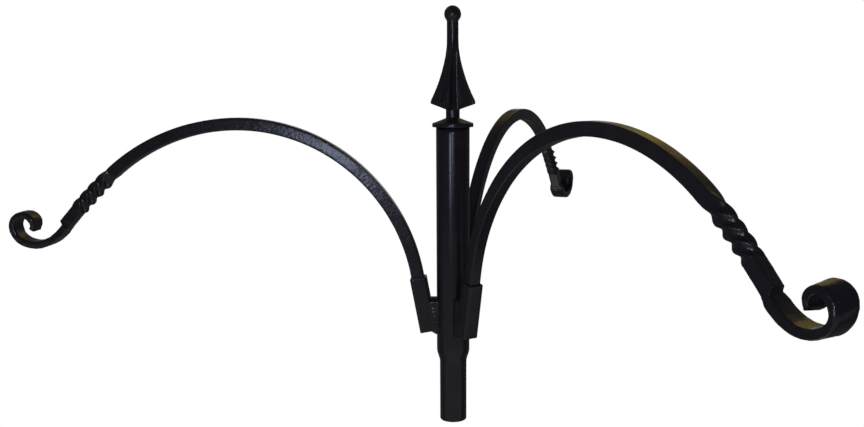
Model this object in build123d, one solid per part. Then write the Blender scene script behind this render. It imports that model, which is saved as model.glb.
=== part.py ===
from build123d import *
import os
from math import cos, pi, radians, sin, sqrt

# Pole top hanger, in millimetres. The origin is on the tube's axis, at the shoulder that rests on
# the pole's mouth, with +Z up. Seen from -Y, one arm points left, one right and forward, one back.

# Centre tube: its lower end is swaged down to the spigot that goes into the pole
tube_diameter = 32.0
tube_wall = 2.0
tube_height = 230.4
spigot_diameter = 26.2
spigot_length = 59.0
spigot_chamfer = 0.6
swage_height = 13.5

# Finial: one casting with a plug in the tube's bore
plug_clearance = 0.3
plug_length = 15.0
cap_overhang = 3.6
cap_rim = 4.1
cap_rim_chamfer = 1.2
cap_cone_height = 8.0
cap_cone_foot = 7.8
cap_height = 8.7
neck_diameter = 13.1
neck_length = 7.5
stem_diameter = 10.2
ball_diameter = 15.9
finial_height = 112.2
fin_count = 4
fin_turn = -27.0
fin_thickness = 5.0
fin_reach = 22.7
fin_tip_height = 24.2
fin_flat = 2.4
fin_top_height = 76.8
fin_sag = 2.7
fin_edge_chamfer = 1.1
fin_tip_chamfer = 0.8

# Sockets: short square tubes, leaning outward, with a welded wedge between each and the centre tube
socket_names = ("left", "right", "back")
socket_directions = (177.8, 301.9, 68.9)
socket_size = 16.0
socket_wall = 1.5
socket_length = 54.5
socket_lean = 10.6
socket_round = 2.0
bore_round = 0.6
socket_foot_height = 31.3
root_gap = 0.2
weld_width = 11.0
weld_fill = 31.0
weld_bead = 4.5
weld_hollow = 1.0
stop_thickness = 3.0

# Arms: square bar that drops into a socket with this much room on each side. Each one has come to
# rest at its own slight lean, outward and sideways, in degrees
arm_clearance = 0.5
arm_leans = ((0.57, 0.0), (-0.37, -0.42), (-0.3, -0.33))
bar_chamfer = 0.9
arch_start = 6.2
arch_arcs = ((178.4, 40.6), (172.8, 41.9), (190.6, 38.0))
outer_radius = 530.0
twist_length = 50.0
twist_turn = -360.0
twist_ease = 0.35
twist_stations = 24
run_length = 25.4

# Scroll: behind a shoulder the bar is pressed to a flat band, which spreads to the same area
scroll_arcs = ((45.9, 30.9), (31.4, 45.2), (20.9, 67.8), (14.5, 97.6), (12.1, 116.8))
shoulder_length = 2.6
shoulder_stations = 5
band_thickness = 8.4
band_end_thickness = 6.9
band_thin_share = 0.6
band_flare_length = 14.0
band_chamfer = 1.2
scroll_step = 11.0

tube_radius = tube_diameter / 2
bore_radius = tube_radius - tube_wall
bar_size = socket_size - 2 * socket_wall - 2 * arm_clearance
upright = Plane.XZ


# A point in an arm's own upright plane, out from the tube's axis and up
def at(out, up):
    return Vector(out, 0, up)


# Centre tube
def make_centre_tube():
    spigot_radius = spigot_diameter / 2
    outer = [(spigot_radius - spigot_chamfer, -spigot_length), (spigot_radius, spigot_chamfer - spigot_length)]
    lower = Polyline(*outer, (spigot_radius, 0))
    swage = Spline((spigot_radius, 0), (tube_radius, swage_height), tangents=((0, 1), (0, 1)))
    wall = Line((tube_radius, swage_height), (tube_radius, tube_height))
    top = Polyline((tube_radius, tube_height), (bore_radius, tube_height), (bore_radius, swage_height))
    neck = Spline((bore_radius, swage_height), (spigot_radius - tube_wall, 0), tangents=((0, -1), (0, -1)))
    inner = Polyline((spigot_radius - tube_wall, 0), (spigot_radius - tube_wall, -spigot_length), outer[0])
    section = make_face(lower + swage + wall + top + neck + inner)
    return revolve(upright * section, Axis.Z)


# One fin of the finial: a flat plate with a hollow, flaring edge that runs out into the stem
def make_fin():
    stem_radius = stem_diameter / 2
    top = (stem_radius - 0.4, fin_top_height)
    tip = (fin_reach, fin_tip_height)
    middle_out = (top[0] + tip[0]) / 2
    middle_up = (top[1] + tip[1]) / 2
    slope = sqrt((tip[0] - top[0]) ** 2 + (tip[1] - top[1]) ** 2)
    middle = (
        middle_out - fin_sag * (top[1] - tip[1]) / slope,
        middle_up - fin_sag * (tip[0] - top[0]) / slope,
    )
    edge = ThreePointArc(top, middle, tip)
    foot = (neck_diameter / 2 - 1, cap_height + neck_length)
    rest = Polyline(tip, (fin_reach, fin_tip_height - fin_flat), foot, (0, foot[1]), (0, top[1]), top)
    outline = make_face(edge + rest)
    corners = outline.vertices().filter_by(lambda v: v.X > fin_reach - 0.1)
    outline = chamfer(corners, fin_tip_chamfer)
    fin = extrude(upright * outline, fin_thickness / 2, both=True)
    rim = fin.edges().filter_by(GeomType.CIRCLE).filter_by(lambda e: e.length > 3 * fin_thickness)
    return chamfer(rim, fin_edge_chamfer)


# Finial: plug, coned cap, neck, tapering stem and ball in one turned form, with the fins on it
def make_finial():
    plug_radius = bore_radius - plug_clearance
    cap_radius = tube_radius + cap_overhang
    neck_radius = neck_diameter / 2
    stem_radius = stem_diameter / 2
    ball_radius = ball_diameter / 2
    ball_height = finial_height - ball_radius
    stem_top = ball_height - sqrt(ball_radius**2 - stem_radius**2)
    neck_top = cap_height + neck_length
    side = Polyline(
        (0, -plug_length),
        (plug_radius, -plug_length),
        (plug_radius, 0),
        (cap_radius - cap_rim_chamfer / 2, 0),
        (cap_radius, cap_rim_chamfer / 2),
        (cap_radius, cap_rim - cap_rim_chamfer),
        (cap_radius - cap_rim_chamfer, cap_rim),
        (cap_cone_foot, cap_cone_height),
        (neck_radius, cap_height),
        (neck_radius, neck_top),
        (stem_radius, stem_top),
    )
    ball = ThreePointArc((stem_radius, stem_top), (ball_radius, ball_height), (0, finial_height))
    outline = side + ball + Line((0, finial_height), (0, -plug_length))
    finial = revolve(upright * make_face(outline), Axis.Z)
    fin = make_fin()
    for i in range(fin_count):
        finial += Rot(0, 0, fin_turn + 360 * i / fin_count) * fin
    return Pos(0, 0, tube_height) * finial


# The leaning frame of a socket: its foot is in the middle of the socket's lower end
def socket_plane():
    half = socket_size / 2
    lean = radians(socket_lean)
    foot = at(tube_radius + root_gap + half * cos(lean), socket_foot_height)
    return Plane(origin=foot, x_dir=(cos(lean), 0, -sin(lean)), z_dir=(sin(lean), 0, cos(lean)))


def make_socket():
    outside = RectangleRounded(socket_size, socket_size, socket_round)
    bore = socket_size - 2 * socket_wall
    inside = RectangleRounded(bore, bore, bore_round)
    return extrude(socket_plane() * (outside - inside), socket_length)


def make_stop_plate():
    bore = socket_size - 2 * socket_wall
    return extrude(socket_plane() * RectangleRounded(bore, bore, bore_round), stop_thickness)


# Weld metal: it fills the wedge above the socket's lower edge and ends in a bead below it
def make_socket_weld():
    lean = radians(socket_lean)
    half = socket_size / 2
    plane = socket_plane()
    corner = plane.from_local_coords((-half, 0, 0))
    bead_end = plane.from_local_coords((weld_bead - half, 0, 0))
    fill_end = corner + plane.z_dir * (weld_fill / cos(lean))
    behind = tube_radius - sqrt(tube_radius**2 - (weld_width / 2) ** 2) + 1
    inside = plane.x_dir * socket_wall
    low = corner.Z - weld_bead
    bead_middle = at((tube_radius + bead_end.X) / 2 - weld_hollow, (low + bead_end.Z) / 2 + weld_hollow)
    top_middle = at((tube_radius + fill_end.X) / 2, fill_end.Z - 2 * weld_hollow)
    outline = Line(at(tube_radius - behind, low), at(tube_radius, low))
    outline += ThreePointArc(at(tube_radius, low), bead_middle, bead_end)
    outline += Polyline(bead_end, bead_end + plane.z_dir * socket_wall, fill_end + inside, fill_end)
    outline += ThreePointArc(fill_end, top_middle, at(tube_radius, fill_end.Z))
    outline += Polyline(
        at(tube_radius, fill_end.Z),
        at(tube_radius - behind, fill_end.Z),
        at(tube_radius - behind, low),
    )
    weld = extrude(make_face(outline), weld_width / 2, both=True)
    weld -= Cylinder(tube_radius, tube_height, align=(Align.CENTER, Align.CENTER, Align.MIN))
    weld -= extrude(plane * RectangleRounded(socket_size, socket_size, socket_round), socket_length)
    return weld


# Tangent arcs one after another, each a radius and a turn, which is to the left where side is 1
def arc_chain(start, direction, arcs, side):
    chain = []
    for radius, turn in arcs:
        arc = JernArc(start, direction, radius, side * turn)
        chain.append(arc)
        start = arc @ 1
        direction = arc % 1
    return chain


# A plane square to an arc of an arm, with its x across the arm and its y to the left of travel
def square_to(arc, share):
    point = arc @ share
    along = arc % share
    return Plane(origin=at(point.X, point.Y), x_dir=(0, 1, 0), z_dir=(along.X, 0, along.Y))


# The section of a bar or band, with its four corners taken off
def make_section(width, thickness, chamfer):
    half_width, half_thickness = width / 2, thickness / 2
    corners = []
    for side, end in ((1, 1), (-1, 1), (-1, -1), (1, -1)):
        upper = (side * half_width, end * (half_thickness - chamfer))
        inner = (side * (half_width - chamfer), end * half_thickness)
        corners += [upper, inner] if side == end else [inner, upper]
    return make_face(Polyline(*corners, close=True))


# The twist turns slowly at its two ends, where the fire's heat fades
def twist_angle(share):
    return twist_turn * (share - twist_ease * sin(2 * pi * share) / (2 * pi))


def make_twist(arc):
    sections = []
    for i in range(twist_stations + 1):
        share = i / twist_stations
        turned = square_to(arc, share) * Rot(0, 0, twist_angle(share))
        sections.append(turned * make_section(bar_size, bar_size, bar_chamfer))
    return loft(sections)


# Thickness and width of the band at a distance from the bar's end
def band_size(distance, length):
    thin = min(distance / (band_thin_share * length), 1)
    flare = min(distance / band_flare_length, 1)
    thickness = band_thickness + (band_end_thickness - band_thickness) * thin
    spread = bar_size**2 / thickness
    width = bar_size + (spread - bar_size) * flare * (2 - flare)
    return thickness, width


# The rounded step from the bar down to the band, all on the inner side of the scroll
def make_shoulder(arc, length):
    end_thickness = band_size(shoulder_length, length)[0]
    sections = []
    for i in range(shoulder_stations + 1):
        share = i / shoulder_stations
        left = (1 + cos(pi * share)) / 2
        thickness = end_thickness + (bar_size - end_thickness) * left
        width = band_size(share * shoulder_length, length)[1]
        chamfer = band_chamfer + (bar_chamfer - band_chamfer) * left
        section = Pos(0, thickness / 2) * make_section(width, thickness, chamfer)
        sections.append(square_to(arc, share * shoulder_length / arc.length) * section)
    return loft(sections, ruled=True)


def make_scroll(chain):
    length = sum(arc.length for arc in chain)
    sections = []
    passed = 0
    for arc, (radius, turn) in zip(chain, scroll_arcs):
        steps = round(turn / scroll_step)
        first = shoulder_length if passed == 0 else 0
        last = arc is chain[-1]
        for i in range(steps + last):
            along = first + (arc.length - first) * i / steps
            thickness, width = band_size(passed + along, length)
            section = Pos(0, thickness / 2) * make_section(width, thickness, band_chamfer)
            sections.append(square_to(arc, along / arc.length) * section)
        passed += arc.length
    return make_shoulder(chain[0], length) + loft(sections)


def make_arm():
    plane = socket_plane()
    straight = socket_length + arch_start
    bend = plane.from_local_coords((0, 0, straight))
    up = Vector(plane.z_dir.X, plane.z_dir.Z)
    start = Vector(bend.X, bend.Z)
    arch = arc_chain(start, up, arch_arcs, -1)
    twist_arc = JernArc(arch[-1] @ 1, arch[-1] % 1, outer_radius, -twist_length / outer_radius * 180 / pi)
    run_arc = JernArc(twist_arc @ 1, twist_arc % 1, outer_radius, -run_length / outer_radius * 180 / pi)
    along = run_arc % 1
    underside = run_arc @ 1 + Vector(along.Y, -along.X) * (bar_size / 2)
    scroll = arc_chain(underside, along, scroll_arcs, 1)
    bar = make_section(bar_size, bar_size, bar_chamfer)
    tail = extrude(plane * Pos(0, 0, stop_thickness) * bar, straight - stop_thickness)
    bends = [sweep(square_to(arc, 0) * bar, upright * arc) for arc in arch + [run_arc]]
    return tail + bends + [make_twist(twist_arc), make_scroll(scroll)]


# Leans an arm about the middle of its socket, and lifts it until its foot's low edge meets the stop
def lean_arm(arm, outward, sideways):
    plane = socket_plane()
    middle = plane.from_local_coords((0, 0, (stop_thickness + socket_length) / 2))
    lift = bar_size / 2 * (sin(radians(abs(outward))) + sin(radians(abs(sideways))))
    turned = Pos(*middle) * Rot(-sideways, outward, 0) * Pos(*(-middle)) * arm
    return Pos(*(plane.z_dir * lift)) * turned


parts = {"centre_tube": make_centre_tube(), "finial": make_finial()}
socket, stop_plate, socket_weld, arm = make_socket(), make_stop_plate(), make_socket_weld(), make_arm()
for name, direction, leans in zip(socket_names, socket_directions, arm_leans):
    turned = Rot(0, 0, direction)
    parts["socket_" + name] = turned * socket
    parts["stop_plate_" + name] = turned * stop_plate
    parts["socket_weld_" + name] = turned * socket_weld
    parts["arm_" + name] = turned * lean_arm(arm, *leans)

os.makedirs("parts", exist_ok=True)
for name, shape in parts.items():
    export_step(shape, "parts/" + name + ".step")
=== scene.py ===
import bpy
import numpy as np
from math import asin, atan, atan2, cos, exp, pi, radians, sin, sqrt, tan
from mathutils import Matrix, Vector, noise


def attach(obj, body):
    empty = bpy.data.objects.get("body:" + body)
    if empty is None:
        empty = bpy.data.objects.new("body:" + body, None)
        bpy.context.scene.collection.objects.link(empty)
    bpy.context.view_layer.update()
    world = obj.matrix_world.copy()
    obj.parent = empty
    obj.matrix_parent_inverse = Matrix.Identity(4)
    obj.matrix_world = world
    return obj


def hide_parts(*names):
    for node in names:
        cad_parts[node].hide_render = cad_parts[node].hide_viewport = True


# Pole top hanger: a tube head with a cast finial, and three forged arms standing in welded sockets.
# Sizes in the dictionaries are millimetres and degrees, with the origin at the foot of the swage.

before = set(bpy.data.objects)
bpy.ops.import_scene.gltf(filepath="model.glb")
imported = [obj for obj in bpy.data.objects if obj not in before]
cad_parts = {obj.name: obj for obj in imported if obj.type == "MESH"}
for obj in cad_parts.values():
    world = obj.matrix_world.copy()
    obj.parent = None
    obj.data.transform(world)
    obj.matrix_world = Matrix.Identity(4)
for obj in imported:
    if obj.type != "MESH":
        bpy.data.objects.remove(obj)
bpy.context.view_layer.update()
mm = 0.001
print("frame loaded")


# Wraps a shader socket, so that maths on it adds Math nodes
class Wire:
    def __init__(self, maker, socket):
        self.maker = maker
        self.socket = socket

    def maths(self, kind, other, swap=False):
        pair = [other, self] if swap else [self, other]
        return self.maker.node("ShaderNodeMath", {"operation": kind}, pair)

    def __add__(self, other):
        return self.maths("ADD", other)

    def __radd__(self, other):
        return self.maths("ADD", other, True)

    def __sub__(self, other):
        return self.maths("SUBTRACT", other)

    def __rsub__(self, other):
        return self.maths("SUBTRACT", other, True)

    def __mul__(self, other):
        return self.maths("MULTIPLY", other)

    def __rmul__(self, other):
        return self.maths("MULTIPLY", other, True)


# Adds nodes to one tree. Settings go in first, then the sockets' values or links
class NodeMaker:
    def __init__(self, tree):
        self.tree = tree
        tree.nodes.clear()

    def node(self, kind, settings=None, inputs=None, out=0):
        made = self.tree.nodes.new(kind)
        for key, value in (settings or {}).items():
            if key == "stops":
                ramp = made.color_ramp
                while len(ramp.elements) < len(value):
                    ramp.elements.new(1)
                for stop, (place, shade) in zip(ramp.elements, value):
                    stop.position = place
                    stop.color = (shade, shade, shade, 1)
            else:
                setattr(made, key, value)
        pairs = inputs.items() if isinstance(inputs, dict) else enumerate(inputs or [])
        for key, value in pairs:
            if isinstance(value, Wire):
                self.tree.links.new(value.socket, made.inputs[key])
            else:
                made.inputs[key].default_value = value
        return Wire(self, made.outputs[out]) if made.outputs else None

    def limit(self, value):
        return self.node("ShaderNodeClamp", None, [value, 0.0, 1.0])

    # A Mix node's colours are its sockets 6 and 7, and the mixed colour is its output 2
    def blend(self, amount, one, two):
        return self.node("ShaderNodeMix", {"data_type": "RGBA"}, {0: amount, 6: one, 7: two}, 2)

    def spots(self, where, scale, detail, rough):
        inputs = {"Vector": where, "Scale": scale, "Detail": detail, "Roughness": rough}
        return self.node("ShaderNodeTexNoise", None, inputs)

    def ramp(self, value, *stops):
        return self.node("ShaderNodeValToRGB", {"stops": stops}, [value])

    def rise(self, value, start, end):
        return self.ramp(value, (start, 0.0), (end, 1.0))

    def rays(self):
        kinds = ("Is Camera Ray", "Is Glossy Ray", "Is Transmission Ray")
        return [self.node("ShaderNodeLightPath", out=kind) for kind in kinds]


# Black stoved powder coat. peel is the orange peel's depth and dents the hammer marks' depth, both in mm.
# Scales count spots to the metre. wear says how deep the marks are at distances from the tube's axis, in
# metres, as they are shallower along the twist
coat = dict(
    deep=(0.0042, 0.0034, 0.0058), pale=(0.0060, 0.0052, 0.0080), gloss=0.36, ior=1.5,
    cloudScale=55.0, cloudEdges=(0.35, 0.7), rough=0.20, roughSpread=0.08,
    dust=0.2, dustColour=(0.03, 0.028, 0.026), dustScale=900.0, dustEdges=(0.62, 0.74), dustRough=0.12,
    peel=0.035, peelScale=420.0, dents=0.0,
)
castLook = dict(coat, rough=0.24, roughSpread=0.10, peel=0.05, peelScale=340.0)
weldLook = dict(coat, rough=0.18, peel=0.06, peelScale=520.0)
forgedLook = dict(
    coat, peel=0.05, peelScale=360.0, dents=0.07, dentScale=300.0, dentSoftness=0.6,
    rippleScale=2.3, rippleShare=0.5, wear=((0.285, 1.0), (0.31, 0.5), (0.36, 0.5), (0.375, 0.9)),
)


def makeCoat(name, look):
    material = bpy.data.materials.new(name)
    material.use_nodes = True
    made = NodeMaker(material.node_tree)
    where = made.node("ShaderNodeTexCoord", out="Object")
    fine = made.spots(where, look["peelScale"], detail=3.0, rough=0.45)
    cloud = made.spots(where, look["cloudScale"], detail=3.0, rough=0.6)
    dust = made.rise(made.spots(where, look["dustScale"], detail=2.0, rough=0.6), *look["dustEdges"])
    base = made.blend(made.rise(cloud, *look["cloudEdges"]), (*look["deep"], 1), (*look["pale"], 1))
    base = made.blend(dust * look["dust"], base, (*look["dustColour"], 1))
    rough = look["rough"] + (cloud - 0.5) * look["roughSpread"] + dust * look["dustRough"]
    height = fine * look["peel"]
    if look["dents"]:
        level = made.node("ShaderNodeVectorMath", {"operation": "MULTIPLY"}, [where, (1.0, 1.0, 0.0)])
        fromAxis = made.node("ShaderNodeVectorMath", {"operation": "LENGTH"}, [level], "Value")
        inputs = {"Vector": where, "Scale": look["dentScale"], "Smoothness": look["dentSoftness"]}
        marks = made.node("ShaderNodeTexVoronoi", {"feature": "SMOOTH_F1"}, inputs)
        rippled = made.spots(where, look["dentScale"] * look["rippleScale"], detail=3.0, rough=0.6)
        worked = marks * look["dents"] + rippled * (look["dents"] * look["rippleShare"])
        height = height + worked * made.ramp(fromAxis, *look["wear"])
    bump = made.node("ShaderNodeBump", None, {"Strength": 1.0, "Distance": mm, "Height": height})
    shader = made.node("ShaderNodeBsdfPrincipled", None, {
        "Base Color": base, "Roughness": made.limit(rough), "Normal": bump,
        "Specular IOR Level": look["gloss"], "IOR": look["ior"],
    })
    made.node("ShaderNodeOutputMaterial", None, {"Surface": shader})
    return material


tubeCoat = makeCoat("tubeCoat", coat)
castingCoat = makeCoat("castingCoat", castLook)
barCoat = makeCoat("barCoat", forgedLook)
weldCoat = makeCoat("weldCoat", weldLook)
print("materials made")


# Adds a mesh piece that stands for the solid of its own name
def addPiece(name, verts, faces, material):
    mesh = bpy.data.meshes.new(name)
    mesh.from_pydata((np.asarray(verts, float) * mm).tolist(), [], faces)
    mesh.polygons.foreach_set("use_smooth", [True] * len(mesh.polygons))
    mesh.update()
    mesh.materials.append(material)
    piece = bpy.data.objects.new(name, mesh)
    bpy.context.scene.collection.objects.link(piece)
    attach(piece, "root")
    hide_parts(name)
    print(name, len(mesh.polygons), "faces")


# Shuts a ring with a fan round a point, by default its middle, which is added to verts
def shutRing(verts, faces, first, size, outward, point=None):
    middle = len(verts)
    verts.append(np.mean([verts[first + j] for j in range(size)], axis=0) if point is None else point)
    for j in range(size):
        a, b = first + j, first + (j + 1) % size
        faces.append((a, b, middle) if outward else (b, a, middle))


# A piece from a stack of rings of equal size. closed joins the last ring to the first, and otherwise both
# ends are shut
def addStack(name, rings, material, closed=False, top=None):
    verts = [v for ring in rings for v in ring]
    count, size = len(rings), len(rings[0])
    faces = []
    for i in range(count if closed else count - 1):
        here, there = i * size, (i + 1) % count * size
        for j in range(size):
            k = (j + 1) % size
            faces.append((here + j, here + k, there + k, there + j))
    if not closed:
        shutRing(verts, faces, 0, size, False)
        shutRing(verts, faces, (count - 1) * size, size, True, top)
    addPiece(name, verts, faces, material)


# A share held between 0 and 1
def held(value):
    return min(max(value, 0), 1)


# The same with a soft start and a soft end
def eased(value):
    share = held(value)
    return share * share * (3 - 2 * share)


# How far a value is through a zone, which is given by its start and its length
def within(zone, value):
    return held((value - zone[0]) / zone[1])


def quarterTurn(steps):
    return [radians(90 * i / steps) for i in range(steps + 1)]


# The section of a bar: points of a rectangle whose four corners have their own rounding
def barSection(width, thickness, rounds, arcSteps, flatSteps):
    corners = ((1, 1, 0), (-1, 1, 90), (-1, -1, 180), (1, -1, 270))
    points = []
    for (sx, sy, turn), r in zip(corners, rounds):
        cx, cy = sx * (width / 2 - r), sy * (thickness / 2 - r)
        for i in range(arcSteps + 1):
            a = radians(turn + 90 * i / arcSteps)
            points.append((cx + r * cos(a), cy + r * sin(a)))
    full = []
    for i, p in enumerate(points):
        full.append(p)
        if i % (arcSteps + 1) == arcSteps:
            q = points[(i + 1) % len(points)]
            for k in range(1, flatSteps):
                t = k / flatSteps
                full.append((p[0] + (q[0] - p[0]) * t, p[1] + (q[1] - p[1]) * t))
    return full


def rotated(point, turn):
    a = radians(turn)
    return point[0] * cos(a) - point[1] * sin(a), point[0] * sin(a) + point[1] * cos(a)


# Moves each point of a ring stack along its own outward normal by depth(i, point)
def roughen(rings, depth):
    rings = np.asarray(rings, float)
    along = np.gradient(rings, axis=0)
    around = np.roll(rings, -1, axis=1) - np.roll(rings, 1, axis=1)
    normal = np.cross(around, along)
    length = np.linalg.norm(normal, axis=2, keepdims=True)
    normal = normal / np.maximum(length, 1e-9)
    out = rings.copy()
    for i in range(rings.shape[0]):
        for j in range(rings.shape[1]):
            out[i, j] += normal[i, j] * depth(i, rings[i, j])
    return out


# Takes a point given out from the tube's axis, across and up, to the direction of an arm
def turnTo(direction, points):
    a = radians(direction)
    points = np.asarray(points, float)
    out, across, up = points[..., 0], points[..., 1], points[..., 2]
    return np.stack([out * cos(a) - across * sin(a), out * sin(a) + across * cos(a), up], axis=-1)


# Sockets: short square tubes that lean outward from the centre tube
socket = dict(
    names=("left", "right", "back"), directions=(177.8, 301.9, 68.9), size=16.0, wall=1.5, length=54.5,
    lean=10.6, cornerRound=2.0, boreRound=0.7, lipRound=0.6, lipShare=0.8, footHeight=31.3, rootGap=0.2,
    stopThickness=3.0, wallSteps=12, lipSteps=5, footSteps=4, arcSteps=6, flatSteps=4,
)
tube = dict(
    radius=16.0, wall=2.0, height=230.4, spigotRadius=13.1, spigotLength=59.0, spigotChamfer=0.6,
    chamferMiddle=(0.15, 0.45), chamferRun=0.4, boreChamfer=0.3, swageHeight=13.5, plugSeat=14.0,
    sides=144, spigotSteps=12, swageSteps=16, wallSteps=40,
)

lean = radians(socket["lean"])
socketRoot = tube["radius"] + socket["rootGap"]
socketFoot = np.array([socketRoot + socket["size"] / 2 * cos(lean), socket["footHeight"]])
socketUp = np.array([sin(lean), cos(lean)])
socketOut = np.array([cos(lean), -sin(lean)])

# An arm from its foot to the tip of its scroll. Arcs are radius and turn. Zones of the band are where a
# change starts and how long it takes, as shares of the band's length. hammerMarks are shares of the
# hammer's depth and the marks' sizes
arm = dict(
    bar=12.0, corner=1.25, footInsets=((1.2, 0.0), (0.35, 0.35), (0.0, 1.2)), footSteps=13,
    archStart=6.2, arch=((178.4, 40.6), (172.8, 41.9), (190.6, 38.0)), outerRadius=530.0,
    twistLength=50.0, twistTurn=-360.0, twistCorner=2.1, twistPinch=0.07, swellStart=6.0, swellEnd=10.0,
    runLength=25.4, shoulderEarly=6.4, shoulderLength=2.6, flareLength=10.0,
    scroll=((45.9, 30.9), (31.4, 45.2), (20.9, 67.8), (14.5, 97.6), (12.1, 116.8)),
    bandThickness=8.4, endThickness=6.9, tipThickness=5.2, tipLength=16.0, tipNarrowing=0.12, thinShare=0.6,
    fadeZone=(0.3, 0.22), rollZone=(0.5, 0.2), curlZone=(0.25, 0.35),
    innerRound=2.9, outerRound=1.5, curlInner=0.34, curlOuter=0.44,
    endRound=1.7, endTilts=(20, 40, 60, 75, 90), endKeep=0.6, leastRound=0.3,
    archStep=2.0, twistStep=0.6, shoulderStep=0.13, scrollStep=0.8, arcSteps=6, flatSteps=5,
    wave=0.07, waveSize=14.0, twistWave=0.10, twistWaveSize=4.5,
    hammer=0.4, hammerMarks=((0.6, 3.4), (0.5, 7.0)), calmShare=0.35, sunk=0.18, seedShift=(37.0, 11.0, 0.0),
)

# Forging by hand made the three arms differ a little: how each leans in its socket, where its twist
# starts, over what length the twist gathers, and how long a quarter of it is. The right arm's band is
# wider after the shoulder and set to one side, and its scroll is rolled over and slants
even = dict(roll=0.0, slant=0.0, spread=1.0, aside=0.0)
ownWays = dict(
    left=dict(even, leans=(0.57, 0.0), twistStart=-5.2, twistEase=18.0, quarter=11.5),
    right=dict(leans=(-0.37, -0.42), twistStart=-13.65, twistEase=28.0, quarter=11.5,
               roll=-10.0, slant=2.0, spread=1.1, aside=1.0),
    back=dict(even, leans=(-0.3, -0.33), twistStart=-8.4, twistEase=24.0, quarter=11.1),
)


# Walks along tangent arcs in an arm's own plane. Each step gives the place, heading and distance
def walkArcs(place, heading, arcs, step, side):
    stations = []
    passed = 0.0
    for radius, turn in arcs:
        length = radius * radians(turn)
        count = max(int(length / step + 0.5), 2)
        left = np.array([-sin(heading), cos(heading)])
        centre = place + left * side * radius
        for i in range(count + 1):
            a = heading + side * radians(turn) * i / count
            here = centre - np.array([-sin(a), cos(a)]) * side * radius
            stations.append((here, a, passed + length * i / count))
        place, heading = stations[-1][0], stations[-1][1]
        passed += length
        if (radius, turn) != arcs[-1]:
            stations.pop()
    return stations


def arcOf(radius, length):
    return radius, length / radius * 180 / pi


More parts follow.
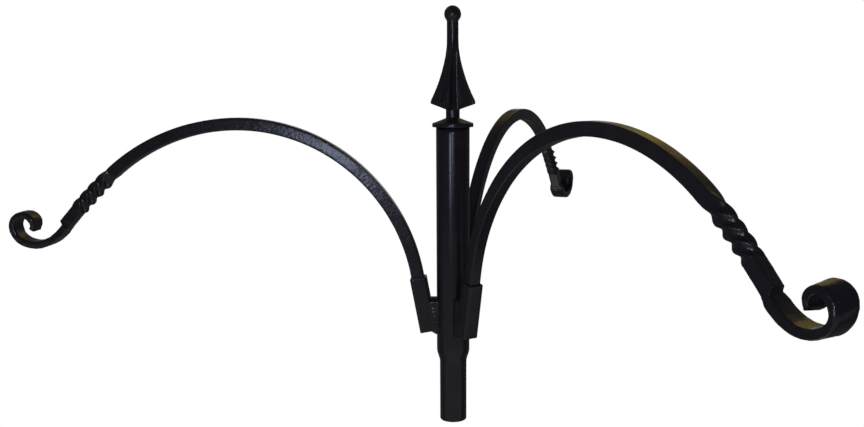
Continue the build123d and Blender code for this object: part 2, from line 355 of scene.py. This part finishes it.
# Every ring of an arm before it is turned to its direction, with the zone that it lies in
def armRings(own):
    a = arm
    half = a["bar"] / 2
    plain = (a["corner"],) * 4
    rings, zones = [], []

    def addRing(place, heading, zone, width, low, high, rounds, turn=0.0, pinch=0.0, aside=0.0, slant=0.0):
        left = np.array([-sin(heading), cos(heading)])
        middle = place + left * (low + high) / 2
        ring = []
        for x, y in barSection(width, high - low, rounds, a["arcSteps"], a["flatSteps"]):
            grown = 1 + pinch * cos(4 * (atan2(y, x) - pi / 4))
            across, up = rotated((x * grown + aside, y * grown), turn)
            spot = middle + left * up
            ring.append((spot[0] - slant * (0.5 - x / width), across, spot[1]))
        rings.append(ring)
        zones.append(zone)

    def addPlain(place, heading, zone):
        addRing(place, heading, zone, a["bar"], -half, half, plain)

    # Foot: a straight length in the socket, with its lower end chamfered
    start = socketFoot + socketUp * socket["stopThickness"]
    heading = pi / 2 - lean
    straight = socket["length"] + a["archStart"]
    footLength = straight - socket["stopThickness"]
    for inset, along in a["footInsets"]:
        place = start + socketUp * along
        addRing(place, heading, "foot", a["bar"] - 2 * inset, inset - half, half - inset, plain)
    chamfer = a["footInsets"][-1][1]
    for i in range(1, a["footSteps"]):
        along = chamfer + (footLength - chamfer) * i / a["footSteps"]
        addPlain(start + socketUp * along, heading, "foot")

    # Arch, then the twist, which gathers evenly once it has eased in, and a straight run
    bend = socketFoot + socketUp * straight
    arch = walkArcs(bend, heading, a["arch"][:2], a["archStep"], -1)
    for place, angle, passed in arch:
        addPlain(place, angle, "arch")
    archEnd = a["arch"][2][0] * radians(a["arch"][2][1])
    lastArc = arcOf(a["outerRadius"], a["twistLength"] + a["runLength"] - a["shoulderEarly"])
    late = walkArcs(arch[-1][0], arch[-1][1], (a["arch"][2], lastArc), a["twistStep"], -1)
    for place, angle, passed in late[1:]:
        into = passed - archEnd - own["twistStart"]
        if into < own["twistEase"]:
            gathered = into * into / (2 * own["twistEase"])
        else:
            gathered = into - own["twistEase"] / 2
        share = gathered / (4 * own["quarter"])
        if into > 0 and share < 1:
            swell = min(1.0, a["swellStart"] * share, a["swellEnd"] * (1 - share))
            corner = a["corner"] + (a["twistCorner"] - a["corner"]) * swell
            addRing(place, angle, "twist", a["bar"], -half, half, (corner,) * 4,
                    a["twistTurn"] * share, a["twistPinch"] * swell)
        else:
            addPlain(place, angle, "arch" if into <= 0 else "run")

    # From the shoulder on, the path is the band's outer face, level with the bar's underside
    def underside(stations, before):
        return [(p - np.array([-sin(h), cos(h)]) * half, h, d + before) for p, h, d in stations[1:]]

    shoulderArc = arcOf(a["outerRadius"], a["shoulderLength"])
    shoulder = walkArcs(late[-1][0], late[-1][1], (shoulderArc,), a["shoulderStep"], -1)
    restArc = arcOf(a["outerRadius"], a["shoulderEarly"] - a["shoulderLength"])
    rest = walkArcs(shoulder[-1][0], shoulder[-1][1], (restArc,), a["twistStep"], -1)
    band = underside(shoulder, 0.0) + underside(rest, a["shoulderLength"])
    scroll = walkArcs(band[-1][0], band[-1][1], a["scroll"], a["scrollStep"], 1)
    band += [(p, h, d + a["shoulderEarly"]) for p, h, d in scroll[1:]]
    total = band[-1][2]
    for place, angle, passed in band:
        thin = held(passed / (a["thinShare"] * total))
        tipped = eased(1 - (total - passed) / a["tipLength"])
        flare = held(passed / a["flareLength"])
        opened = flare * (2 - flare)
        settled = held(passed / a["shoulderLength"])
        over = eased(within(a["rollZone"], passed / total))
        early = 1 - within(a["fadeZone"], passed / total)
        curled = within(a["curlZone"], passed / total)
        thickness = a["bandThickness"] + (a["endThickness"] - a["bandThickness"]) * thin
        spread = a["bar"] ** 2 / thickness * (1 + (own["spread"] - 1) * early)
        width = (a["bar"] + (spread - a["bar"]) * opened) * (1 - a["tipNarrowing"] * tipped)
        thickness -= (a["endThickness"] - a["tipThickness"]) * tipped
        high = thickness + (a["bar"] - thickness) * (1 + cos(pi * settled)) / 2
        inner = a["innerRound"] * thickness / a["bandThickness"] * (1 - curled)
        inner = inner + a["curlInner"] * thickness * curled
        inner = a["corner"] + (inner - a["corner"]) * settled
        outer = a["outerRound"] * (1 - curled) + a["curlOuter"] * thickness * curled
        outer = a["corner"] + (outer - a["corner"]) * settled
        aside = own["aside"] * opened * early
        roll = own["roll"] * over
        addRing(place, angle, "shoulder" if settled < 1 else "scroll", width, 0.0, high,
                (inner, inner, outer, outer), roll, aside=aside, slant=own["slant"] * over)

    # The tip's end is rounded over
    place, angle = band[-1][:2]
    along = np.array([cos(angle), sin(angle)])
    for tilt in a["endTilts"]:
        push, inset = a["endRound"] * sin(radians(tilt)), a["endRound"] * (1 - cos(radians(tilt)))
        rounds = (max(inner - inset * a["endKeep"], a["leastRound"]),) * 2
        rounds += (max(outer - inset, a["leastRound"]),) * 2
        addRing(place + along * (push - a["endRound"]), angle, "end", width - 2 * inset, inset,
                thickness - inset, rounds, roll, aside=aside, slant=own["slant"])
    return np.array(rings), zones


# Leans an arm about the middle of its socket, outward and sideways, and lifts its foot to the stop again
def leanArm(rings, outward, sideways):
    a, b = radians(outward), radians(sideways)
    middle = socketFoot + socketUp * (socket["stopThickness"] + socket["length"]) / 2
    out, across, up = rings[..., 0] - middle[0], rings[..., 1], rings[..., 2] - middle[1]
    out, up = out * cos(a) + up * sin(a), up * cos(a) - out * sin(a)
    across, up = across * cos(b) + up * sin(b), up * cos(b) - across * sin(b)
    lift = arm["bar"] / 2 * (sin(abs(a)) + sin(abs(b)))
    out, up = out + middle[0] + socketUp[0] * lift, up + middle[1] + socketUp[1] * lift
    return np.stack([out, across, up], axis=-1)


def makeArm(name, direction, seed):
    a = arm
    own = ownWays[name]
    stack, zones = armRings(own)

    def depth(i, point):
        p = Vector(point) + Vector(a["seedShift"]) * seed
        wave = a["wave"] * noise.noise(p / a["waveSize"])
        if zones[i] in ("scroll", "run", "shoulder"):
            share = 1 if zones[i] == "scroll" else a["calmShare"]
            marks = sum(noise.noise(p / size) * deep for deep, size in a["hammerMarks"])
            wave += a["hammer"] * marks * share - a["sunk"] * share
        elif zones[i] == "twist":
            wave += a["twistWave"] * noise.noise(p / a["twistWaveSize"])
        elif zones[i] == "end":
            wave = -a["sunk"]
        return wave

    rings = leanArm(roughen(stack, depth), *own["leans"])
    addStack("arm_" + name, turnTo(direction, rings), barCoat)


for order, (name, direction) in enumerate(zip(socket["names"], socket["directions"])):
    makeArm(name, direction, order)
print("arms made")


# Centre tube: plain spigot, swage, plain tube, and the bore inside, as one closed outline turned round
def makeTube():
    t = tube
    foot, narrow, bore = -t["spigotLength"], t["spigotRadius"], t["radius"] - t["wall"]
    step, rise = t["radius"] - narrow, t["height"] - t["swageHeight"]
    chamferIn, chamferUp = t["chamferMiddle"]
    ease = [(1 - cos(pi * i / t["swageSteps"])) / 2 for i in range(t["swageSteps"] + 1)]
    outline = [(narrow - t["spigotChamfer"], foot), (narrow - chamferIn, foot + chamferUp)]
    outline += [(narrow, foot + t["spigotChamfer"] + t["chamferRun"])]
    outline += [(narrow, foot * (1 - i / t["spigotSteps"])) for i in range(1, t["spigotSteps"])]
    outline += [(narrow + step * e, t["swageHeight"] * i / t["swageSteps"]) for i, e in enumerate(ease)]
    outline += [(t["radius"], t["swageHeight"] + rise * i / t["wallSteps"])
                for i in range(1, t["wallSteps"] + 1)]
    outline += [(bore, t["height"]), (bore, t["height"] - t["plugSeat"]), (bore, t["swageHeight"])]
    outline += [(bore - step * e, t["swageHeight"] * (1 - i / t["swageSteps"]))
                for i, e in enumerate(ease)][1:]
    outline += [(narrow - t["wall"], foot + t["boreChamfer"]), (narrow - t["wall"] + t["boreChamfer"], foot)]
    turns = [2 * pi * j / t["sides"] for j in range(t["sides"])]
    rings = [[(radius * cos(a), radius * sin(a), z) for a in turns] for radius, z in outline]
    addStack("centre_tube", rings, tubeCoat, closed=True)


makeTube()


# Finial: a casting, worked out ring by ring from the plug up, with heights above the tube's top. The
# distance from the axis is the round core's or the fins', whichever is further, with a fillet between
# them, and each fin's edge is rounded over. The waves are depth and size
finial = dict(
    plug=13.7, plugLength=15.0, plugChamfer=0.8, plugEdge=0.6, capUnder=(15.9, 17.8, 19.2),
    rim=19.6, rimHeight=4.1, rimRound=1.3, rimUnder=0.5, rimSteps=(6, 8),
    coneFoot=7.8, coneHeight=8.0, conePull=10.6, coneSlopes=(0.34, 0.40), coneSteps=16,
    neck=6.55, neckTop=16.2, neckRise=1.4, neckStart=1.9, neckSteps=(7, 12),
    stem=5.45, stemStart=4.6, stemGap=0.6, stemSteps=18, height=112.2, ball=7.95, ballFillet=0.35,
    ballSteps=28, fins=4, turn=-27.0, halfThickness=2.5, reach=22.7, tipLow=21.8, tipHigh=24.2, tipBlunt=0.1,
    finTop=76.8, sag=2.7, topReach=4.7, valley=1.6, edge=0.8, edgeGrowth=12, tipEdge=1.0, undercutFoot=5.6,
    finStart=0.5, leastReach=1, farSide=60, tipPast=1.2, tipStep=0.2, finFrom=1.4, finPast=4, finStep=0.75,
    edgeTurns=(0.0, 1.3, 2.6, 3.8, 4.9), sideFrom=24, sideTo=4.7, sideSteps=15, valleyTurns=(33, 37, 41),
    castWaves=((0.06, 5.0), (0.035, 1.8)),
)
stemTop = finial["height"] - finial["ball"] - sqrt(finial["ball"] ** 2 - finial["stem"] ** 2)


def smoothLess(a, b, k):
    h = max(k - abs(a - b), 0) / k
    return min(a, b) - h * h * k / 4


def smoothMore(a, b, k):
    return -smoothLess(-a, -b, k)


# How far the fins stand out at a height: a hollow arc from the stem to the tip, and the undercut below it
def finReach(z):
    f = finial
    p, q = np.array([f["topReach"], f["finTop"]]), np.array([f["reach"], f["tipHigh"]])
    chord = np.linalg.norm(q - p)
    radius = (chord * chord / 4 + f["sag"] ** 2) / (2 * f["sag"])
    normal = np.array([q[1] - p[1], p[0] - q[0]]) / chord
    centre = (p + q) / 2 - normal * (radius - f["sag"])
    hollow = centre[0] - sqrt(max(radius ** 2 - (z - centre[1]) ** 2, 0.0))
    slope = (z - f["neckTop"]) * (f["reach"] - f["undercutFoot"]) / (f["tipLow"] - f["neckTop"])
    under = f["undercutFoot"] + slope
    return smoothLess(smoothLess(hollow, under, f["tipEdge"]), f["reach"] - f["tipBlunt"], f["tipEdge"])


def coreRadius(z):
    f = finial
    share = held((z - f["neckTop"]) / (stemTop - f["neckTop"]))
    return f["neck"] + (f["stem"] - f["neck"]) * (1 - (1 - share) ** 2)


# Core and fin together, away degrees from the middle of the nearest fin
def finnedRadius(core, reach, away):
    f = finial
    side = f["halfThickness"] / max(sin(radians(away)), 1e-3)
    rounding = f["edge"] * (1 + side / f["edgeGrowth"])
    fin = smoothLess(min(side, f["farSide"]), reach / cos(radians(away)), rounding)
    radius = smoothMore(core, fin, f["valley"])
    if core > reach:
        radius = core + (radius - core) * exp(-(core - reach))
    return radius


# Heights of the rings from the neck to the ball, close together at the fins' tips
def finialHeights():
    f = finial
    neckPart = np.linspace(f["coneHeight"] + f["neckStart"], f["neckTop"] - f["tipStep"], f["neckSteps"][1])
    tipPart = np.arange(f["neckTop"], f["tipHigh"] + f["tipPast"], f["tipStep"])
    finPart = np.arange(f["tipHigh"] + f["finFrom"], f["finTop"] + f["finPast"], f["finStep"])
    stemPart = np.linspace(f["finTop"] + f["stemStart"], stemTop - f["stemGap"], f["stemSteps"])
    return [*neckPart, *tipPart, *finPart, *stemPart]


# Directions of a ring's points, close together at the fins' edges and in the valleys
def finialTurns(pitch):
    f = finial
    along = [f["sideFrom"] * (f["sideTo"] / f["sideFrom"]) ** (i / f["sideSteps"])
             for i in range(f["sideSteps"] + 1)]
    half = list(f["edgeTurns"]) + [atan(f["halfThickness"] / v) * 180 / pi for v in along]
    half += f["valleyTurns"]
    turns = []
    for i in range(f["fins"]):
        middle = f["turn"] + pitch * i
        turns += [middle + d for d in half] + [middle + pitch / 2]
        turns += [middle + pitch - d for d in reversed(half[1:])]
    return turns


def makeFinial():
    f = finial
    pitch = 360 / f["fins"]
    turns = finialTurns(pitch)
    base = tube["height"]
    rings = []

    def addRound(radius, z):
        rings.append([(radius * cos(radians(t)), radius * sin(radians(t)), base + z) for t in turns])

    # Plug, and the cap with its rim rounded under and over
    addRound(f["plug"] - f["plugChamfer"], -f["plugLength"])
    for z in (f["plugChamfer"] - f["plugLength"], -f["plugEdge"], 0.0):
        addRound(f["plug"], z)
    for radius in f["capUnder"]:
        addRound(radius, 0.0)
    for a in quarterTurn(f["rimSteps"][0]):
        addRound(f["rim"] - f["rimUnder"] + f["rimUnder"] * sin(a), f["rimUnder"] - f["rimUnder"] * cos(a))
    for a in quarterTurn(f["rimSteps"][1])[1:]:
        addRound(f["rim"] - f["rimRound"] * (1 - cos(a)), f["rimHeight"] - f["rimRound"] * (1 - sin(a)))

    # The shallow cone is a smooth curve between two slopes, with a fillet up to the neck
    p, q = np.array([f["rim"] - f["rimRound"], f["rimHeight"]]), np.array([f["coneFoot"], f["coneHeight"]])
    leave, arrive = (f["conePull"] * np.array([-1, slope]) for slope in f["coneSlopes"])
    for i in range(1, f["coneSteps"] + 1):
        s = i / f["coneSteps"]
        point = (2 * s ** 3 - 3 * s * s + 1) * p + (s ** 3 - 2 * s * s + s) * leave
        point = point + (3 * s * s - 2 * s ** 3) * q + (s ** 3 - s * s) * arrive
        addRound(point[0], point[1])
    for a in quarterTurn(f["neckSteps"][0])[1:]:
        radius = f["coneFoot"] - (f["coneFoot"] - f["neck"]) * sin(a)
        addRound(radius, f["coneHeight"] + f["neckRise"] * (1 - cos(a)))

    # Neck, fins and stem
    for z in finialHeights():
        core, reach = coreRadius(z), finReach(z)
        finned = z > f["neckTop"] - f["finStart"] and reach > f["leastReach"]
        ring = []
        for t in turns:
            away = abs((t - f["turn"] + pitch / 2) % pitch - pitch / 2)
            radius = finnedRadius(core, reach, away) if finned else core
            ring.append((radius * cos(radians(t)), radius * sin(radians(t)), base + z))
        rings.append(ring)

    # Ball
    middle = f["height"] - f["ball"]
    low = -asin(sqrt(1 - (f["stem"] / f["ball"]) ** 2))
    for i in range(1, f["ballSteps"]):
        a = low + (pi / 2 - low) * i / f["ballSteps"]
        least = f["stem"] + f["ballFillet"] if i == 1 else 0.0
        addRound(max(f["ball"] * cos(a), least), middle + f["ball"] * sin(a))

    def depth(i, point):
        return sum(deep * noise.noise(Vector(point) / size) for deep, size in f["castWaves"])

    top = np.array([0, 0, base + f["height"]])
    addStack("finial", roughen(rings, depth), castingCoat, top=top)


makeFinial()


# A socket: outside wall, rounded lip, bore, and the lip at its foot, as one closed ring of rings
def makeSocket(name, direction):
    s = socket
    lip, bore = s["lipRound"], s["size"] - 2 * s["wall"]
    rings = []

    def addRing(size, r, height):
        ring = []
        for across, out in barSection(size, size, (r,) * 4, s["arcSteps"], s["flatSteps"]):
            spot = socketFoot + socketOut * out + socketUp * height
            ring.append((spot[0], across, spot[1]))
        rings.append(ring)

    for i in range(s["wallSteps"] + 1):
        addRing(s["size"], s["cornerRound"], lip + (s["length"] - 2 * lip) * i / s["wallSteps"])
    for a in quarterTurn(s["lipSteps"])[1:]:
        cut = lip * (1 - cos(a))
        addRing(s["size"] - 2 * cut, s["cornerRound"] - cut * s["lipShare"], s["length"] - lip * (1 - sin(a)))
    for a in quarterTurn(s["lipSteps"]):
        cut = lip * (1 - sin(a))
        addRing(bore + 2 * cut, s["boreRound"] + cut * s["lipShare"], s["length"] - lip * (1 - cos(a)))
    addRing(bore, s["boreRound"], s["length"] / 2)
    addRing(bore, s["boreRound"], 0.0)
    for a in quarterTurn(s["footSteps"])[1:-1]:
        cut = lip * (1 - sin(a))
        addRing(s["size"] - 2 * cut, s["cornerRound"] - cut, lip * (1 - cos(a)))
    addStack("socket_" + name, turnTo(direction, rings), tubeCoat, closed=True)


# Weld metal in the wedge behind a socket: its two sides are laid in ripples, and a bead closes it below.
# fills are its heights at the three sockets, over is how far it laps the socket's inner face
weld = dict(
    halfWidth=7.7, fills=(32.5, 36.0, 32.0), bead=4.5, beadCurve=1.5, beadOver=0.3, bulge=0.6, over=1.0,
    lap=2.2, lapZone=(0.9, 0.1), footRise=2.0, dome=4.5, domePlain=0.6, rootSpread=0.6, sink=0.5,
    ripple=0.10, pitch=1.7, bow=0.6, drift=0.5, uneven=0.25, unevenSize=2.2, seedStep=9.1, sideStep=3.3,
    leastHalf=0.1, sideSteps=14, rows=72,
)


def makeWeld(name, direction, seed):
    w = weld
    radius = tube["radius"]
    corner = socketFoot - socketOut * socket["size"] / 2
    beadEnd = corner + socketOut * w["bead"]
    low, top = corner[1] - w["bead"], corner[1] + w["fills"][seed]
    rows = []
    for i in range(w["rows"] + 1):
        z = low + (top - low) * i / w["rows"]
        near = max(min((z - low) / w["footRise"], 1, (top - z) / w["dome"]), 0.0)
        near = sqrt(near * (2 - near))
        plain = held((top - z) / w["dome"] - w["domePlain"])
        if z < corner[1]:
            share = held((z - low) / (beadEnd[1] - low))
            outer = radius + (beadEnd[0] - radius) * share ** w["beadCurve"] + w["beadOver"] * share
        else:
            outer = corner[0] + (z - corner[1]) * tan(lean) + w["over"]
        if z > corner[1]:
            outer += w["lap"] * within(w["lapZone"], near)
        row = []
        for side in (1, -1):
            for k in range(w["sideSteps"] + 1):
                t = (1 - cos(pi * k / w["sideSteps"])) / 2
                t = t if side == 1 else 1 - t
                spot = Vector((seed * w["seedStep"], side * w["sideStep"], z / w["unevenSize"]))
                wobble = noise.noise(spot)
                phase = z / w["pitch"] + w["bow"] * (t - 0.5) ** 2 * 4 + wobble * w["drift"]
                ripple = w["ripple"] * abs(sin(pi * phase))
                crown = sqrt(max(1 - (2 * t - 1) ** 2, 0))
                half = near * (w["halfWidth"] + w["bulge"] * crown)
                half += (ripple + w["uneven"] * wobble) * plain * crown
                half += w["rootSpread"] * (1 - t)
                inner = sqrt(max(radius ** 2 - half ** 2, 0)) - w["sink"]
                row.append((inner + (outer - inner) * t, side * max(half, w["leastHalf"]), z))
        rows.append(row)
    addStack("socket_weld_" + name, turnTo(direction, rows), weldCoat)


for order, (name, direction) in enumerate(zip(socket["names"], socket["directions"])):
    makeSocket(name, direction)
    makeWeld(name, direction, order)
    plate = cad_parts["stop_plate_" + name]
    plate.data.materials.clear()
    plate.data.materials.append(tubeCoat)
print("head made")


# Studio: a pale floor well below the hanging part, a white background, and soft lamps
studio = dict(floorHeight=-2500.0, floorSize=1600.0, floorColour=(0.93, 0.93, 0.93, 1), whiteShare=0.94)
lamps = (
    dict(name="tallLamp", place=(-30, -1000, 235), target=(0, 0, 200), size=(100, 220),
         power=0.55, colour=(0.72, 0.80, 1.0)),
    dict(name="sideLamp", place=(-315, -1000, 140), target=(-110, 0, 180), size=(110, 110),
         power=0.8, colour=(0.62, 0.70, 1.0)),
    dict(name="flashLamp", place=(-20, -960, 335), target=(0, 0, 200), size=(80, 60),
         power=0.62, colour=(0.95, 0.97, 1.0)),
)


def makeFloor():
    half = studio["floorSize"] / 2
    corners = [(-half, -half), (half, -half), (half, half), (-half, half)]
    mesh = bpy.data.meshes.new("studioFloor")
    mesh.from_pydata([(x * mm, y * mm, studio["floorHeight"] * mm) for x, y in corners], [], [(0, 1, 2, 3)])
    floor = bpy.data.objects.new("studioFloor", mesh)
    bpy.context.scene.collection.objects.link(floor)
    material = bpy.data.materials.new("paleFloor")
    material.use_nodes = True
    made = NodeMaker(material.node_tree)
    camera, glossy, through = made.rays()
    seen = made.limit(camera + glossy + through)
    matt = made.node("ShaderNodeBsdfDiffuse", None, {"Color": studio["floorColour"]})
    white = made.node("ShaderNodeEmission", None, {"Color": (1, 1, 1, 1), "Strength": 1.0})
    mixed = made.node("ShaderNodeMixShader", None, [seen * studio["whiteShare"], matt, white])
    made.node("ShaderNodeOutputMaterial", None, {"Surface": mixed})
    mesh.materials.append(material)


# What the part mirrors is a dim room: a white backdrop low behind it, a paler side in front below it, and
# a warm mottled patch high up behind it with a bright spot on the right. Edges are where a part of the
# room starts and ends along its direction, from -1 to 1. Spots are a noise's scale, detail and roughness
mirrored = dict(
    plain=0.85, behind=0.05, behindEdges=(0.0, 0.3), right=0.02,
    left=0.09, leftTint=(0.9, 0.93, 1.1), leftEdges=(0.0, 0.45),
    below=0.36, belowEdges=(0.13, 0.27), frontEdges=(0.1, 0.4),
    backdrop=0.6, backdropEdges=(0.9, 0.965),
    backdropUp=((0.0, 0.0), (0.08, 1.0), (0.15, 1.0), (0.23, 0.0)),
    gold=(1.0, 0.74, 0.20), warm=0.19, warmUp=((0.3, 0.0), (0.46, 1.0), (0.68, 1.0), (0.8, 0.0)),
    warmEdges=(0.1, 0.4), warmSpots=(8.0, 4.0, 0.65), warmMottle=((0.40, 0.1), (0.60, 1.0)),
    bright=1.05, brightAzimuth=67.0, brightHeight=31.0, brightSpots=(11.0, 3.0, 0.6),
    brightFall=((0.92, 0.0), (0.975, 0.28), (0.9985, 1.0)), brightMottle=((0.42, 0.08), (0.54, 1.0)),
)


def makeWorld():
    m = mirrored
    world = bpy.data.worlds.new("studioWorld")
    bpy.context.scene.world = world
    world.use_nodes = True
    made = NodeMaker(world.node_tree)
    camera, glossy, through = made.rays()
    way = made.node("ShaderNodeTexCoord", out="Generated")
    across, away, up = (made.node("ShaderNodeSeparateXYZ", None, [way], out=k) for k in range(3))

    def level(amount, tint=(1, 1, 1)):
        return tuple(amount * c for c in tint) + (1,)

    backdrop = made.ramp(up, *m["backdropUp"]) * made.rise(away, *m["backdropEdges"])
    warm = made.ramp(up, *m["warmUp"]) * made.rise(away, *m["warmEdges"])
    warm = warm * made.ramp(made.spots(way, *m["warmSpots"]), *m["warmMottle"])
    a, b = radians(m["brightAzimuth"]), radians(m["brightHeight"])
    toBright = (cos(a) * cos(b), sin(a) * cos(b), sin(b))
    near = made.node("ShaderNodeVectorMath", {"operation": "DOT_PRODUCT"}, [way, toBright], "Value")
    mottle = made.ramp(made.spots(way, *m["brightSpots"]), *m["brightMottle"])
    bright = made.ramp(near, *m["brightFall"]) * mottle
    below = made.rise(up * -1.0, *m["belowEdges"]) * made.rise(away * -1.0, *m["frontEdges"])
    room = made.blend(made.rise(away, *m["behindEdges"]), level(m["right"]), level(m["behind"]))
    room = made.blend(made.rise(across * -1.0, *m["leftEdges"]), room, level(m["left"], m["leftTint"]))
    room = made.blend(below, room, level(m["below"]))
    room = made.blend(warm, room, level(m["warm"], m["gold"]))
    room = made.blend(bright, room, level(m["bright"], m["gold"]))
    room = made.blend(backdrop * m["backdrop"], room, level(1.0))
    shown = made.blend(glossy, level(m["plain"]), room)
    shown = made.blend(made.limit(camera + through), shown, level(1.0))
    sky = made.node("ShaderNodeBackground", None, {"Color": shown, "Strength": 1.0})
    made.node("ShaderNodeOutputWorld", None, {"Surface": sky})


def addLamp(name, place, target, size, power, colour):
    light = bpy.data.lights.new(name, "AREA")
    light.shape = "RECTANGLE"
    light.size, light.size_y = size[0] * mm, size[1] * mm
    light.energy = power
    light.color = colour
    lamp = bpy.data.objects.new(name, light)
    bpy.context.scene.collection.objects.link(lamp)
    lamp.location = Vector(place) * mm
    lamp.rotation_euler = (Vector(target) * mm - lamp.location).to_track_quat("-Z", "Y").to_euler()
    lamp.visible_camera = False


makeFloor()
makeWorld()
for lamp in lamps:
    addLamp(**lamp)
print("studio made")

# Camera, from a fit of the part's own outline. focal, centreX and centreY are pixels of the photograph's
# frame, which is 864 by 427; the sensor is in mm, and the clipping distances are in metres
photo = dict(
    width=864, focal=948.1, centreX=7.55, centreY=37.01, place=(0.0, -906.9, 270.82),
    down=9.975, yaw=0.827, roll=-0.242, sensor=36.0, clipNear=0.01, clipFar=50.0,
)


def makeCamera():
    view = bpy.data.cameras.new("photoCamera")
    view.sensor_width = photo["sensor"]
    view.lens = photo["sensor"] * photo["focal"] / photo["width"]
    view.shift_x = -photo["centreX"] / photo["width"]
    view.shift_y = photo["centreY"] / photo["width"]
    view.clip_start = photo["clipNear"]
    view.clip_end = photo["clipFar"]
    camera = bpy.data.objects.new("photoCamera", view)
    bpy.context.scene.collection.objects.link(camera)
    pitch, yaw, roll = (radians(photo[k]) for k in ("down", "yaw", "roll"))
    forward = Vector((-sin(yaw) * cos(pitch), cos(yaw) * cos(pitch), -sin(pitch)))
    right = Vector((cos(yaw), sin(yaw), 0))
    up = right.cross(forward)
    right, up = right * cos(roll) + up * sin(roll), up * cos(roll) - right * sin(roll)
    turn = Matrix((right, up, -forward)).transposed().to_4x4()
    camera.matrix_world = Matrix.Translation(Vector(photo["place"]) * mm) @ turn
    bpy.context.scene.camera = camera


makeCamera()
bpy.context.scene.view_settings.view_transform = "Standard"
